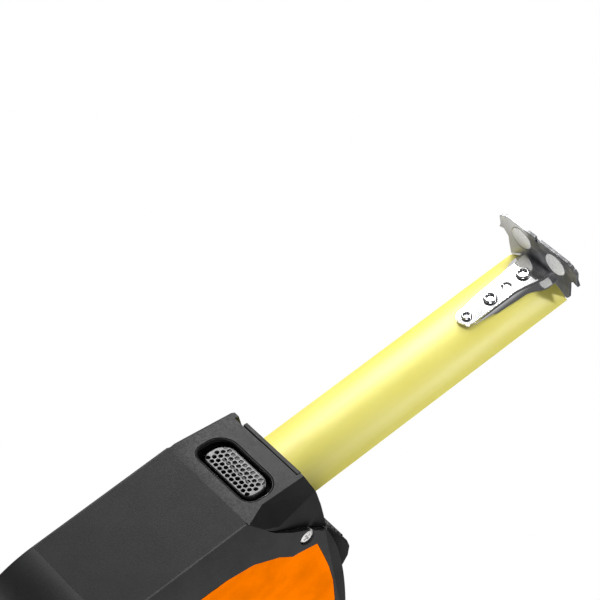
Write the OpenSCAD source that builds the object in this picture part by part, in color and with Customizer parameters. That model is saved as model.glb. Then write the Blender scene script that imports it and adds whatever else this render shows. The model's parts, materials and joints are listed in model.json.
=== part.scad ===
// Pocket tape measure with a magnetic T-shaped end hook, millimetres.
// +Z is up, the flat base is z = 0, the blade leaves towards -Y, the label side is +X
// and the belt clip is on -X. The reel axis runs along X above the origin.

/* [Case] */
// Half width across the rubber sides
case_half = 19.5; // [19.5:0.1:20.5]
// Height of the case above its base
case_h = 75; // [74.5:0.5:77]
// Back of the case behind the reel axis
case_back = 38; // [38:0.5:40]
// Thickness of the rubber jacket
grip_t = 2; // [1.8:0.1:2.2]
// Wall of the hard shell under the rubber
wall = 2.2; // [2:0.1:2.4]
// Depth of the side panels below the rubber face
panel_in = 0.1; // [0:0.05:0.3]

/* [Reel] */
// Height of the reel axis
reel_z = 41; // [41:0.1:41.4]
// Outside radius of the wound blade
coil_r = 28.5; // [27.5:0.1:28.6]
// Inside radius of the wound blade
drum_r = 19.5; // [18.5:0.1:20]
// Radius of the centre post
post_r = 4; // [3.5:0.1:4.5]

/* [Blade] */
// Flat width of the blade
blade_w = 25; // [24:0.5:25]
// Distance from the reel axis to the end of the blade
blade_reach = 128; // [110:1:140]
// Height of the lowest line of the blade
valley_z = 10; // [9.9:0.05:10.1]
// Radius of the blade's cross curve
blade_r = 14.65; // [14.6:0.05:15]
// Thickness of the coated blade
blade_t = 0.3; // [0.25:0.01:0.35]

/* [Hook] */
// Gap between blade end and hook in the middle of its play
hook_gap = 0.5; // [0.4:0.05:0.6]
// Thickness of the hook plate
hook_t = 1; // [0.9:0.05:1.2]
// Radius of each magnet
magnet_r = 3.64; // [3:0.05:3.8]
// Distance of each magnet from the middle
magnet_x = 6.4; // [6:0.1:6.8]

/* [Controls] */
// Travel of the lock lever down the front
lever_travel = 3; // [2:0.1:3]
// Travel of the finger brake button
button_travel = 1.5; // [1:0.1:1.5]

/* [Clip] */
// Width of the belt clip
clip_w = 18; // [16:0.5:22]
// Gap behind the belt clip
clip_gap = 4.6; // [4.4:0.1:5]

/* [Hidden] */
$fn = 96;
eps = 0.05;
split_x = -2.5;
front_r = 70;
front_c = [29, 41];
lip_y = -38.3;
ramp_y = -18;
ramp_drop = 4;
// Half width and back end of the hard base between the rubber edges
base_half = 15.5;
base_back = case_back - 14;
core_half = case_half - grip_t;
cave_half = core_half - wall;
button_y = -26.8;
// Button outlines: half length, half width, front and back corner radius
bezel_edge = [11.7, 5.45, 5.35, 3.65];
pad_edge = [9.2, 3.9, 3.8, 2.5];
// Half spacing of the brake's two pads, which straddle the hook tang
shoe_x = 6.65;
shoe_top = 10.8 - button_travel;
blade_start = -16;
hook_back = -(blade_reach + hook_gap);
arc_z = valley_z + blade_r;
blade_a = blade_w / 2 / blade_r * 180 / PI;
chord_z = arc_z - blade_r * cos(blade_a);
magnet_z = valley_z - 5.2;
// Case screws: y, z and where the shank ends
screws = [[-31.7, 16.6, 12.6], [-31, 66, -13.5], [25.5, 64, -13.5], [29, 10, -13.5]];
screw_r = 1.3;
head_r = 2.05;
head_face = case_half - 0.3;
rivets_at = [[5.6, 1.95], [17.2, 1.95], [25.5, 1.45]];
clip_x = -(case_half + clip_gap);
// Front part of the panel edge: y, z
panel_edge = [
    [0, 9.2], [-7.3, 9.5], [-15.2, 11.2], [-22.7, 15.8], [-26.5, 19.5], [-27.9, 19.7],
    [-34.1, 21.6], [-35, 26.7], [-36.1, 34], [-36.5, 41], [-35.9, 49], [-33.6, 56.5],
    [-29, 63.5], [-22, 69], [-14, 72], [0, 72.8]
];

c_black = [0.05, 0.05, 0.055];
c_rubber = [0.09, 0.09, 0.1];
c_orange = [1, 0.42, 0.02];
c_yellow = [0.88, 0.84, 0.3];
c_steel = [0.75, 0.76, 0.78];

// ---------- helpers ----------

// Extrudes a (y, z) outline along X between two x values
module along_x(x0, x1) {
    translate([x0, 0, 0]) rotate([90, 0, 90]) linear_extrude(x1 - x0) children();
}

// Extrudes an (x, z) outline along Y between two y values
module along_y(y0, y1) {
    translate([0, y1, 0]) rotate([90, 0, 0]) linear_extrude(y1 - y0) children();
}

// Extrudes an (x, y) outline along Z between two heights
module along_z(z0, z1) {
    translate([0, 0, z0]) linear_extrude(z1 - z0) children();
}

module box(x0, x1, y0, y1, z0, z1) {
    translate([x0, y0, z0]) cube([x1 - x0, y1 - y0, z1 - z0]);
}

// Cylinder along X through y, z
module rod_x(y, z, r, x0, x1) {
    translate([x0, y, z]) rotate([0, 90, 0]) cylinder(r = r, h = x1 - x0);
}

// Large block on the far side of the plane through three points
module beyond(a, b, c) {
    n = cross(b - a, c - a);
    u = n / norm(n);
    translate(a) rotate([0, acos(u[2]), atan2(u[1], u[0])]) translate([-60, -60, 0]) cube(120);
}

// Rounded rectangle with its own radius at each corner
module soft_rect(x0, y0, x1, y1, bl, br, tr, tl) {
    difference() {
        translate([x0, y0]) square([x1 - x0, y1 - y0]);
        translate([x0 - 1, y0 - 1]) square(bl + 1);
        translate([x1 - br, y0 - 1]) square(br + 1);
        translate([x1 - tr, y1 - tr]) square(tr + 1);
        translate([x0 - 1, y1 - tl]) square(tl + 1);
    }
    translate([x0 + bl, y0 + bl]) circle(bl);
    translate([x1 - br, y0 + br]) circle(br);
    translate([x1 - tr, y1 - tr]) circle(tr);
    translate([x0 + tl, y1 - tl]) circle(tl);
}

// Side outline of the case, drawn in by d
module case_outline(d) {
    intersection() {
        soft_rect(-42 + d, d, case_back - d, case_h - d, 2, 14 - d, 32 - d, 25 - d);
        translate(front_c) circle(front_r - d);
    }
}

// Front outline (half widths at heights), drawn in by d
module front_outline(d) {
    h = case_half - d;
    t = case_h;
    polygon([
        [15.6 - d, d - 1], [h - 1.1, 5.5], [h, 10], [h, t - 4], [h - 4.5, t + 1 - d],
        [4.5 - h, t + 1 - d], [-h, t - 4], [-h, 10], [1.1 - h, 5.5], [d - 15.6, d - 1]
    ]);
}

// Top outline (half widths along the length), drawn in by d
module top_outline(d) {
    h = case_half - d;
    b = case_back;
    polygon([
        [h - 2.4, d - 42], [h, -36.9], [h, b - 5], [h - 5, b + 1 - d],
        [5 - h, b + 1 - d], [-h, b - 5], [-h, -36.9], [2.4 - h, d - 42]
    ]);
}

// The whole case, drawn in by d
module case_form(d) {
    intersection() {
        along_x(-case_half, case_half) case_outline(d);
        along_y(-50, 50) front_outline(d);
        along_z(-5, case_h + 5) top_outline(d);
    }
}

// Region in front of and below the nose seam, grown by d
module nose_region(d) {
    polygon([
        [ramp_y + 1.3 * d, -2], [ramp_y + 1.3 * d, 0], [-23.8 + 0.8 * d, 6.8 + 0.6 * d],
        [-32.6 + 0.65 * d, 13.8 + 0.75 * d], [-38.6 + 0.7 * d, 20.6 + 0.75 * d], [-60, 20.6 + 0.75 * d],
        [-60, -2]
    ]);
}

module label_half() {
    intersection() {
        children();
        box(split_x, 60, -60, 60, -5, 90);
    }
}

module clip_half() {
    intersection() {
        children();
        box(-60, split_x, -60, 60, -5, 90);
    }
}

// Way out for the blade and the moving lock parts
module ways() {
    box(-12.3, 12.3, -60, -12, 7.9, 17.2);
    box(-7.4, 7.4, -35.2, -29.6, 7.9, 21.4);
    box(-4.4, 4.4, -35, -33, 13, 52);
    box(-5.4, 5.4, -35.4, -33, 38, 52);
    box(-3.3, 3.3, -60, -33, 50.3 - 6.6 - lever_travel, 50.3);
    for (s = [-1, 1])
        translate([s * shoe_x, 0, 0]) box(-1.6, 1.6, button_y - 3.2, button_y + 3.2, 7.2, 12);
}

// Outline of a side panel, drawn in by d
module panel_shape(d) {
    k = 1 - d / 33;
    translate([0, reel_z]) {
        circle(31.8 - d);
        polygon([for (p = panel_edge) [p[0] * k, (p[1] - reel_z) * k]]);
    }
}

module screw_holes(r, x0, x1) {
    for (p = screws) rod_x(p[0], p[1], r, x0, x1);
}

// ---------- case ----------

module shell_solid() {
    difference() {
        case_form(grip_t);
        difference() {
            case_form(grip_t + wall);
            along_x(-60, 60) nose_region(2.2);
        }
        along_x(-60, 60) nose_region(eps);
        ways();
    }
}

module bosses(x0, x1) {
    intersection() {
        case_form(grip_t);
        for (p = screws) if (p[2] < x1) rod_x(p[0], p[1], 2.8, max(x0, p[2] - 1), x1);
    }
}

// Seat of the bezel and the space above it
module bezel_seat() {
    along_z(-5, 6.3) button_outline([11.75, 5.5, 5.4, 3.7]);
}

module right_shell() {
    color(c_black) difference() {
        union() {
            label_half() shell_solid();
            bosses(split_x, cave_half + 0.5);
        }
        screw_holes(screw_r + eps, -30, 30);
        along_x(-60, 60) nose_region(eps);
        bezel_seat();
        ways();
    }
}

module left_shell() {
    color(c_black) difference() {
        union() {
            clip_half() shell_solid();
            bosses(-cave_half - 0.5, split_x);
        }
        screw_holes(screw_r + eps, -14, 30);
        along_x(-60, 60) nose_region(eps);
        bezel_seat();
        ways();
    }
}

module grip_solid() {
    difference() {
        case_form(0);
        case_form(grip_t);
        along_x(-60, 60) nose_region(0.25);
        box(-base_half - eps, base_half + eps, -60, base_back + eps, -1, grip_t);
        bezel_seat();
        ways();
    }
}

module right_grip() {
    color(c_rubber) difference() {
        label_half() grip_solid();
        along_x(core_half - 1, 60) panel_shape(0);
        screw_holes(2.4, core_half - 1, 60);
    }
}

module left_grip() {
    color(c_rubber) difference() {
        clip_half() grip_solid();
        along_x(-60, 1 - core_half) panel_shape(0);
    }
}

module right_panel() {
    color(c_orange) along_x(core_half, case_half - panel_in) panel_shape(0.15);
}

module left_panel() {
    color(c_orange) difference() {
        along_x(panel_in - case_half, -core_half) panel_shape(0.15);
        rod_x(0, 62, 1.55, -60, 0);
    }
}

// ---------- nose ----------

// Facets of the nose on the label side: two flush ones, then a small one that turns in at the jacket
module label_cuts() {
    lip = [12.3, -38.4, 4.1];
    low_front = [16.3, -37.4, 6.6];
    top_front = [17.9, -38.3, 20.6];
    low_back = [18.2, -25.2, 6.2];
    bend = [13.2, -24.6, 1.3];
    step = [15.8, -19, 0];
    intersection() {
        beyond(step, low_back, bend);
        union() {
            beyond(bend, low_front, lip);
            beyond(bend, low_back, low_front);
        }
    }
    beyond(low_back, top_front, low_front);
}

// The clip side is fuller: one bottom chamfer and a tapered cheek
module clip_cuts() {
    base = [base_half, -18.6, 0];
    lip = [15.3, -38.6, 4.1];
    low_front = [17.6, -38, 6.6];
    top_front = [17.9, -38.3, 20.6];
    low_back = [18.2, -25.2, 6.2];
    mirror([1, 0, 0]) {
        beyond(base, low_front, lip);
        beyond(low_back, top_front, low_front);
    }
}

module nose_solid() {
    difference() {
        along_x(-18.2, 18.2) polygon([
            [lip_y, ramp_drop], [ramp_y, 0], [-23.8, 6.8], [-32.6, 13.8], [-38.4, 20.45],
            [-38.7, 16], [-38.8, 12], [-38.6, 8]
        ]);
        label_cuts();
        clip_cuts();
        ways();
        // Seat of the lip strip, open at the clip end
        box(-13.6, 11, -60, -37.1, 3, 7.9);
        bezel_seat();
        // Holes of the button's stems
        for (s = [-1, 1]) translate([s * shoe_x, button_y, 5]) cylinder(r = 1.45, h = 4);
        // Recess of the mouth bumper
        box(-8, 8, -60, -37.7, 17.8, 20);
    }
    // Hard base, one surface with the ramp
    along_x(-base_half, base_half) polygon([
        [ramp_y, 0], [base_back, 0], [base_back, grip_t - eps], [ramp_y - 1.6, grip_t - eps]
    ]);
}

// The label side's nose carries the whole base, so the seam ends at the button
module right_nose() {
    color(c_black) difference() {
        nose_solid();
        box(-60, split_x, -60, button_y, -5, 90);
    }
}

module left_nose() {
    color(c_black) intersection() {
        nose_solid();
        box(-60, split_x, -60, button_y, -5, 90);
    }
}

module lip_strip() {
    color(c_black) along_x(-10.8, 10.8) polygon([
        [lip_y - 0.35, 4.25], [-37.4, 4.05], [-37.4, 7.8], [lip_y, 7.8], [lip_y - 0.35, 7.2]
    ]);
}

module mouth_bumper() {
    color(c_rubber) along_x(-7.9, 7.9) polygon([
        [-37.8, 17.9], [-39.3, 18.2], [-39.3, 19.6], [-37.8, 19.9]
    ]);
}

// Outline of the button and its seat, rounder at the front
module button_outline(e) {
    translate([0, button_y]) soft_rect(-e[0], -e[1], e[0], e[1], e[2], e[2], e[3], e[3]);
}

// Everything on or above the nose ramp raised by d
module above_ramp(d) {
    along_x(-30, 30) polygon([
        [lip_y, ramp_drop + d], [ramp_y, d], [ramp_y, 30], [lip_y, 30]
    ]);
}

module button_bezel() {
    color(c_black) intersection() {
        difference() {
            along_z(-2, 6.2) button_outline(bezel_edge);
            along_z(-3, 7) button_outline([9.6, 4.2, 4.1, 2.8]);
        }
        above_ramp(0.15);
    }
}

// ---------- fixings ----------

module case_screws() {
    color(c_steel) for (p = screws) {
        rod_x(p[0], p[1], screw_r, p[2], core_half + 0.1);
        difference() {
            rod_x(p[0], p[1], head_r, core_half + 0.05, head_face);
            translate([head_face - 0.5, p[0], p[1]]) {
                rotate([20, 0, 0]) translate([0, -0.25, -1.2]) cube([2, 0.5, 2.4]);
                rotate([110, 0, 0]) translate([0, -0.25, -1.2]) cube([2, 0.5, 2.4]);
            }
        }
    }
}

module hub_post() {
    color(c_steel) rod_x(0, reel_z, post_r, -cave_half, cave_half);
}

module hub_caps() {
    color(c_black) {
        difference() {
            rod_x(0, reel_z, 8, cave_half - 1.2, cave_half);
            rod_x(0, reel_z, post_r + eps, 0, 30);
        }
        difference() {
            rod_x(0, reel_z, 8, -cave_half, 1.2 - cave_half);
            rod_x(0, reel_z, post_r + eps, -30, 0);
        }
    }
}

// ---------- reel ----------

module tube_x(r0, r1, x0, x1) {
    difference() {
        rod_x(0, reel_z, r1, x0, x1);
        rod_x(0, reel_z, r0, x0 - 1, x1 + 1);
    }
}

module reel_drum() {
    color(c_black) difference() {
        tube_x(drum_r - 1.6, drum_r - eps, -12.7, 12.7);
        for (x = [-8, 0, 8]) box(x - 1.5, x + 1.5, -40, 0, reel_z - 3, reel_z + 3);
    }
}

module flange_disc(x0, x1) {
    difference() {
        tube_x(post_r + eps, coil_r + 1, x0, x1);
        for (a = [0 : 60 : 300])
            translate([0, 0, reel_z]) rotate([a, 0, 0]) rod_x(12, 0, 3.2, x0 - 1, x1 + 1);
    }
}

module right_flange() {
    color([0.2, 0.2, 0.22]) flange_disc(12.75, 13.65);
}

module left_flange() {
    color([0.2, 0.2, 0.22]) flange_disc(-13.65, -12.75);
}

module blade_coil() {
    color(c_yellow) difference() {
        tube_x(drum_r, coil_r, -12.5, 12.5);
        for (r = [drum_r + 0.9 : 0.9 : coil_r - 0.6]) {
            tube_x(r, r + 0.2, 12, 14);
            tube_x(r, r + 0.2, -14, -12);
        }
    }
}

module power_spring() {
    color([0.35, 0.38, 0.42]) difference() {
        tube_x(7, 15.6, -11.5, 11.5);
        for (r = [7.7 : 0.8 : 15]) {
            tube_x(r, r + 0.25, 10.5, 13);
            tube_x(r, r + 0.25, -13, -10.5);
        }
    }
}

// ---------- blade ----------

module blade_curve(r0, r1, z_top) {
    intersection() {
        translate([0, arc_z]) difference() {
            circle(r1, $fn = 160);
            circle(r0, $fn = 160);
        }
        translate([-30, 0]) square([60, z_top]);
    }
}

module blade() {
    color(c_yellow) difference() {
        along_y(-blade_reach, blade_start) blade_curve(blade_r - blade_t, blade_r, chord_z);
        for (v = rivets_at) translate([0, hook_back + v[0], 5]) cylinder(r = 1.05, h = 10);
    }
}

module blade_leader() {
    color(c_yellow) box(-12.5, 12.5, blade_start + 0.1, 1, 12.1, 12.4);
}

module rivets() {
    color(c_steel) for (v = rivets_at) translate([0, hook_back + v[0], 0]) difference() {
        union() {
            translate([0, 0, valley_z - 1.6]) cylinder(r = v[1], h = 0.5);
            translate([0, 0, valley_z - 1.6]) cylinder(r = 1, h = 2.5);
            translate([0, 0, valley_z + blade_t + 0.12]) cylinder(r = 1.6, h = 0.5);
        }
        translate([0, 0, valley_z - 2]) cylinder(r = 0.6, h = 1.4);
    }
}

// ---------- hook ----------

module hook_outline() {
    z = magnet_z;
    side = [
        [1, z - 4.6], [11.3, z - 4.6], [12.1, z - 4.1], [12.5, z - 4.3], [13.3, z - 3.4],
        [13.7, z - 3.6], [14.6, z - 2.5], [14.4, z + 0.2], [15, z + 2.1], [13.2, z + 1.5],
        [11.6, z + 3.2], [11.5, z + 5.5], [11.1, z + 9.6], [10.4, z + 10.4]
    ];
    difference() {
        polygon([for (p = side) p, for (i = [len(side) - 1 : -1 : 0]) [-side[i][0], side[i][1]]]);
        translate([-0.85, z - 6]) square([1.7, 2.4]);
        for (s = [-1, 1]) translate([s * magnet_x, z]) circle(magnet_r + 0.02);
        // Upper edge follows the hollow of the blade
        translate([0, arc_z]) circle(blade_r - 1.2);
    }
}

module hook_plate() {
    color(c_steel) along_y(hook_back - hook_t, hook_back) hook_outline();
}

module hook_tang() {
    back = hook_back;
    color(c_steel) difference() {
        intersection() {
            along_y(back - 0.2, back + 28.3) difference() {
                translate([0, arc_z]) circle(blade_r + 0.95, $fn = 160);
                translate([0, arc_z]) circle(blade_r + eps, $fn = 160);
            }
            along_z(0, valley_z + 3) union() {
                polygon([
                    [-7, back - 0.2], [7, back - 0.2], [7, back + 3.5], [5, back + 8], [4.6, back + 17],
                    [3.2, back + 25.1], [-3.2, back + 25.1], [-4.6, back + 17], [-5, back + 8],
                    [-7, back + 3.5]
                ]);
                translate([0, back + 25.1]) circle(3.2);
            }
        }
        for (v = rivets_at) {
            along_z(0, 15) union() {
                translate([0, back + v[0] - 0.6]) circle(1.1);
                translate([0, back + v[0] + 0.6]) circle(1.1);
                translate([-1.1, back + v[0] - 0.6]) square([2.2, 1.2]);
            }
        }
        box(-20, 20, back - 1, back, 0, 20);
    }
}

module magnets() {
    color([0.62, 0.63, 0.65]) for (s = [-1, 1])
        translate([s * magnet_x, hook_back + 0.15, magnet_z]) rotate([90, 0, 0])
            cylinder(r = magnet_r, h = hook_t + 0.1);
}

// ---------- lock ----------

module lock_lever() {
    color(c_black) {
        along_x(-9, 9) polygon([
            [-41.9, 37], [-44.6, 36.8], [-49.4, 48.3], [-49.8, 51], [-48.8, 54], [-46.9, 56],
            [-44, 58.2], [-40.3, 59], [-41.9, 49]
        ]);
        box(-3, 3, -42, -34.6, 44, 50);
    }
}

module lever_grip() {
    color(c_rubber) for (i = [0 : 3])
        translate([0, -45.5 - i, 39.1 + i * 2.4]) rotate([22.6, 0, 0])
            box(-7.6, 7.6, -0.45, 0.25, -0.55, 0.55);
}

module lock_arm() {
    color(c_steel) {
        box(-4, 4, -34.6, -33.4, 18, 50);
        box(-5, 5, -34.6, -33.4, 43, 50);
    }
}

module lock_pad() {
    color(c_rubber) difference() {
        box(-7, 7, -34.8, -30, 13.6, 18);
        along_y(-36, -29) difference() {
            translate([-10, 12]) square([20, 7]);
            translate([0, 13.6 + 14.2]) circle(14.2);
        }
    }
}

// ---------- finger brake ----------

module brake_button() {
    color(c_black) {
        intersection() {
            along_z(-2, 4.5) button_outline(pad_edge);
            above_ramp(1.6);
        }
        for (s = [-1, 1]) translate([s * shoe_x, button_y, 4]) cylinder(r = 1.4, h = 3.4);
    }
}

// Rubber pad with staggered rows of dimples
module button_pad() {
    pitch = 1.7;
    color(c_rubber) difference() {
        intersection() {
            along_z(-2, 6) button_outline(pad_edge);
            above_ramp(0.8);
        }
        above_ramp(1.6);
        for (i = [-5 : 5], j = [-1 : 1]) {
            x = i * pitch + (j == 0 ? pitch / 2 : 0);
            if (abs(x) < pad_edge[0] - 1.2)
                translate([x, button_y + j * 2.1, -1]) cylinder(r = 0.5, h = 3.6 - j * 0.42, $fn = 16);
        }
    }
}

module brake_shoe() {
    color(c_rubber) for (s = [-1, 1])
        translate([s * shoe_x, 0, 0]) box(-1.35, 1.35, button_y - 2.9, button_y + 2.9, 7.4, shoe_top);
}

// A short spring round each stem
module button_spring() {
    color(c_steel) for (s = [-1, 1], z = [4.78, 5.38, 5.98])
        translate([s * shoe_x, button_y, z]) rotate_extrude() translate([2, 0]) circle(0.26, $fn = 20);
}

// ---------- belt clip ----------

module clip_boss() {
    color(c_black) difference() {
        along_x(clip_x, panel_in - case_half) soft_rect(-7, 55, 7, 68, 2, 2, 4, 4);
        rod_x(0, 62, 1.55, -60, 0);
    }
}

module clip_base() {
    color(c_steel) difference() {
        along_x(clip_x - 1, clip_x) soft_rect(-clip_w / 2, 56.5, clip_w / 2, 69, 1, 1, 5, 5);
        rod_x(0, 62, 1.55, -60, 0);
    }
}

module clip_screw() {
    color(c_steel) {
        rod_x(0, 62, 1.5, clip_x - 1.1, -core_half - 0.1);
        difference() {
            rod_x(0, 62, 3, clip_x - 2.4, clip_x - 1.02);
            translate([clip_x - 2.9, 0, 62]) {
                translate([0, -0.35, -1.8]) cube([1.3, 0.7, 3.6]);
                translate([0, -1.8, -0.35]) cube([1.3, 3.6, 0.7]);
            }
        }
    }
}

module belt_clip() {
    g = clip_x;
    color(c_steel) intersection() {
        along_y(-clip_w / 2, clip_w / 2) {
            polygon([
                [g, 55.8], [g - 1, 55.8], [g - 1, 30], [g + 1.6, 21.4], [g - 1.4, 15.4], [g - 0.6, 14.9],
                [g + 2.9, 21.3], [g, 30.2]
            ]);
            translate([g - 0.5, 55.8]) circle(0.5, $fn = 32);
        }
        along_x(-60, 0) soft_rect(-clip_w / 2, 14, clip_w / 2, 57, 5, 5, 0.5, 0.5);
    }
}

// ---------- assembly ----------

right_shell();
left_shell();
right_grip();
left_grip();
right_panel();
left_panel();
right_nose();
left_nose();
lip_strip();
mouth_bumper();
button_bezel();
case_screws();
hub_post();
hub_caps();
reel_drum();
right_flange();
left_flange();
blade_coil();
power_spring();
blade();
blade_leader();
rivets();
hook_plate();
hook_tang();
magnets();
lock_lever();
lever_grip();
lock_arm();
lock_pad();
brake_button();
button_pad();
brake_shoe();
button_spring();
clip_boss();
clip_base();
clip_screw();
belt_clip();
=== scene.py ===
"""Looks of a pocket tape measure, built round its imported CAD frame.

Lengths in the script are millimetres unless a name says otherwise; the mesh writer turns them into metres.
"""

import json
import logging
import math
from dataclasses import dataclass
from enum import Enum
from typing import Any, Callable, Sequence

import bmesh
import bpy
import numpy as np
from mathutils import Matrix, Vector

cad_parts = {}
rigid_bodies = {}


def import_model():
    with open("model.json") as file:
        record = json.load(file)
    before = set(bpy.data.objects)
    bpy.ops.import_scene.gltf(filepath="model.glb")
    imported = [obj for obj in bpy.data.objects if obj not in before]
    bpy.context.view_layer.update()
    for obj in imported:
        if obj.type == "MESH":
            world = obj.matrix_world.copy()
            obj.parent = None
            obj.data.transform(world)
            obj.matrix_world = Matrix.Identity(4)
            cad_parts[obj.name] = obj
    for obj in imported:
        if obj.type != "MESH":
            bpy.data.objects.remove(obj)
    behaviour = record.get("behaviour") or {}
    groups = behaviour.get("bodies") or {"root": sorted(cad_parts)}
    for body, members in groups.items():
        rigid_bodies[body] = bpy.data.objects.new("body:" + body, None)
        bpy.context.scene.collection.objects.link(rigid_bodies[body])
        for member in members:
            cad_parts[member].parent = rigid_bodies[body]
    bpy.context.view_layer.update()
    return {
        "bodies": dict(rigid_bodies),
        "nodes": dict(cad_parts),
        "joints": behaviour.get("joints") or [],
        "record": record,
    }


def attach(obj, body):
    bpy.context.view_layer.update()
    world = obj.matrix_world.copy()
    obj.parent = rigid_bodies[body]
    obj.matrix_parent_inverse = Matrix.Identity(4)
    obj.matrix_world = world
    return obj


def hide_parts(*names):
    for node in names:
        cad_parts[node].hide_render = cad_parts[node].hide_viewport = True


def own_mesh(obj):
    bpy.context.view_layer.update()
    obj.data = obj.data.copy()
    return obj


MM = 0.001
HOOK_FACE_Y = -128.5  # inner face of the hook, where the scale starts
VALLEY_Z = 10.0  # lowest line of the drawn-out blade
BLADE_RADIUS = 14.65  # bend of the blade's section
LOG = logging.getLogger("tape_measure")
Colour = tuple[float, float, float]
Array = np.ndarray
DOT = {"operation": "DOT_PRODUCT"}
SMOOTH = {"interpolation_type": "SMOOTHSTEP"}


# --- Shader building ---


def configure(target: Any, **settings: Any) -> Any:
    """Set attributes of a Blender data block, node or modifier, and return it."""
    for key, value in settings.items():
        setattr(target, key, value)
    return target


def set_sockets(tree: Any, node: Any, values: Any) -> None:
    """Set or link the inputs of a node.

    Args:
        tree: The node tree.
        node: The node.
        values: Numbers, colours, signals or output sockets, by name or in order.
    """
    pairs = values.items() if isinstance(values, dict) else enumerate(values)
    for key, value in pairs:
        socket = node.inputs[key]
        if isinstance(value, Signal):
            value = value.socket
        if isinstance(value, bpy.types.NodeSocket):
            tree.links.new(value, socket)
        else:
            short = socket.type == "RGBA" and len(value) == 3
            socket.default_value = (*value, 1.0) if short else value


def add_node(tree: Any, kind: str, settings: dict[str, Any] | None = None, values: Any = ()) -> Any:
    """Add a node to a tree, set its settings first and then its sockets.

    Args:
        tree: The node tree.
        kind: Blender's name of the node type.
        settings: Node properties.
        values: Socket values or links, by name or in order.

    Returns:
        The new node.
    """
    made = configure(tree.nodes.new(kind), **(settings or {}))
    set_sockets(tree, made, values)
    return made


def _maths(operation: str, swapped: bool = False) -> Callable[..., "Signal"]:
    """Make a method of Signal that adds one Math node.

    Args:
        operation: The node's operation.
        swapped: Put the other value first.

    Returns:
        The method.
    """

    def method(self: "Signal", *others: Any) -> "Signal":
        """Add the node and wrap its output."""
        values = [*others, self] if swapped else [self, *others]
        return self.graph.signal(self.graph.node("ShaderNodeMath", {"operation": operation}, values))

    return method


@dataclass(frozen=True)
class Signal:
    """A socket of a node graph that can be used in Python arithmetic.

    Comparisons give 1 where they hold and 0 elsewhere.
    """

    graph: "Graph"
    socket: Any

    __add__ = __radd__ = _maths("ADD")
    __mul__ = __rmul__ = _maths("MULTIPLY")
    __sub__ = _maths("SUBTRACT")
    __rsub__ = _maths("SUBTRACT", swapped=True)
    __truediv__ = _maths("DIVIDE")
    __lt__ = _maths("LESS_THAN")
    __gt__ = _maths("GREATER_THAN")
    __abs__ = _maths("ABSOLUTE")
    fraction = _maths("FRACT")
    at_least = _maths("MAXIMUM")

    def ramp(self, low: float, high: float, out_low: float = 0.0, out_high: float = 1.0) -> "Signal":
        """Smooth step from out_low at low to out_high at high.

        Args:
            low: Value where the step starts.
            high: Value where the step ends.
            out_low: Result before the step.
            out_high: Result after the step.

        Returns:
            The stepped signal.
        """
        values = [self, low, high, out_low, out_high]
        return self.graph.signal(self.graph.node("ShaderNodeMapRange", SMOOTH, values))


class Graph:
    """One material's node graph with a Principled shader."""

    def __init__(self, name: str) -> None:
        """Start an empty material.

        Args:
            name: Name of the material.
        """
        self.material = bpy.data.materials.new(f"{name}_look")
        self.material.use_nodes = True
        self.tree = self.material.node_tree
        self.tree.nodes.clear()
        self.place = self.node("ShaderNodeTexCoord")
        self.shader = self.node("ShaderNodeBsdfPrincipled")
        self.output = self.node("ShaderNodeOutputMaterial", None, {"Surface": self.shader.outputs[0]})

    def node(self, kind: str, settings: dict[str, Any] | None = None, values: Any = ()) -> Any:
        """Add a node to this material, as add_node does."""
        return add_node(self.tree, kind, settings, values)

    def signal(self, node: Any, output: int | str = 0) -> Signal:
        """Wrap an output of a node."""
        return Signal(self, node.outputs[output])

    def axis(self, name: str) -> Signal:
        """One Object coordinate in millimetres.

        Args:
            name: X, Y or Z.

        Returns:
            The coordinate as a signal.
        """
        split = self.node("ShaderNodeSeparateXYZ", None, [self.place.outputs["Object"]])
        return self.signal(split, name) * (1.0 / MM)

    def noise(
        self, size: float, detail: float = 3.0, roughness: float = 0.55, stretch: Colour = (1, 1, 1)
    ) -> Signal:
        """Noise of one feature size on Object coordinates.

        Args:
            size: Feature size in millimetres.
            detail: Octaves of detail.
            roughness: Strength of the finer octaves.
            stretch: Scale of the pattern along each axis.

        Returns:
            Values round 0.5.
        """
        spot = self.place.outputs["Object"]
        scaled = self.node("ShaderNodeMapping", None, {"Vector": spot, "Scale": stretch}).outputs[0]
        values = {"Vector": scaled, "Scale": 1.0 / (size * MM), "Detail": detail, "Roughness": roughness}
        return self.signal(self.node("ShaderNodeTexNoise", None, values))

    def blend(self, factor: Any, first: Any, second: Any) -> Signal:
        """Mix two colours.

        Args:
            factor: 0 gives the first, 1 the second.
            first: A colour or a signal.
            second: A colour or a signal.

        Returns:
            The mixed colour.
        """
        mix = self.node("ShaderNodeMix", {"data_type": "RGBA"}, {0: factor, 6: first, 7: second})
        return self.signal(mix, 2)

    def bump(self, height: Signal, depth: float, below: Any = None) -> Signal:
        """Bump normal from a height signal.

        Args:
            height: Height from 0 to 1.
            depth: Height of 1 in millimetres.
            below: An earlier normal to build on.

        Returns:
            The normal.
        """
        values = {"Height": height, "Distance": depth * MM, "Strength": 1.0}
        if below is not None:
            values["Normal"] = below
        return self.signal(self.node("ShaderNodeBump", None, values))

    def edges(self, radius: float) -> Signal:
        """1 on sharp edges, 0 on flat faces.

        Args:
            radius: Reach of the edge in millimetres.

        Returns:
            The edge mask.
        """
        soft = self.node("ShaderNodeBevel", {"samples": 4}, {"Radius": radius * MM})
        flat = self.node("ShaderNodeNewGeometry")
        dot = self.node("ShaderNodeVectorMath", DOT, [soft.outputs[0], flat.outputs["Normal"]])
        return self.signal(dot, "Value").ramp(0.99, 0.86)

    def finish(self, **values: Any) -> bpy.types.Material:
        """Set the shader's sockets and return the material.

        Args:
            **values: Socket names with spaces written as underscores.

        Returns:
            The material.
        """
        named = {key.replace("_", " "): value for key, value in values.items()}
        set_sockets(self.tree, self.shader, named)
        return self.material


# --- Finishes ---


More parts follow.
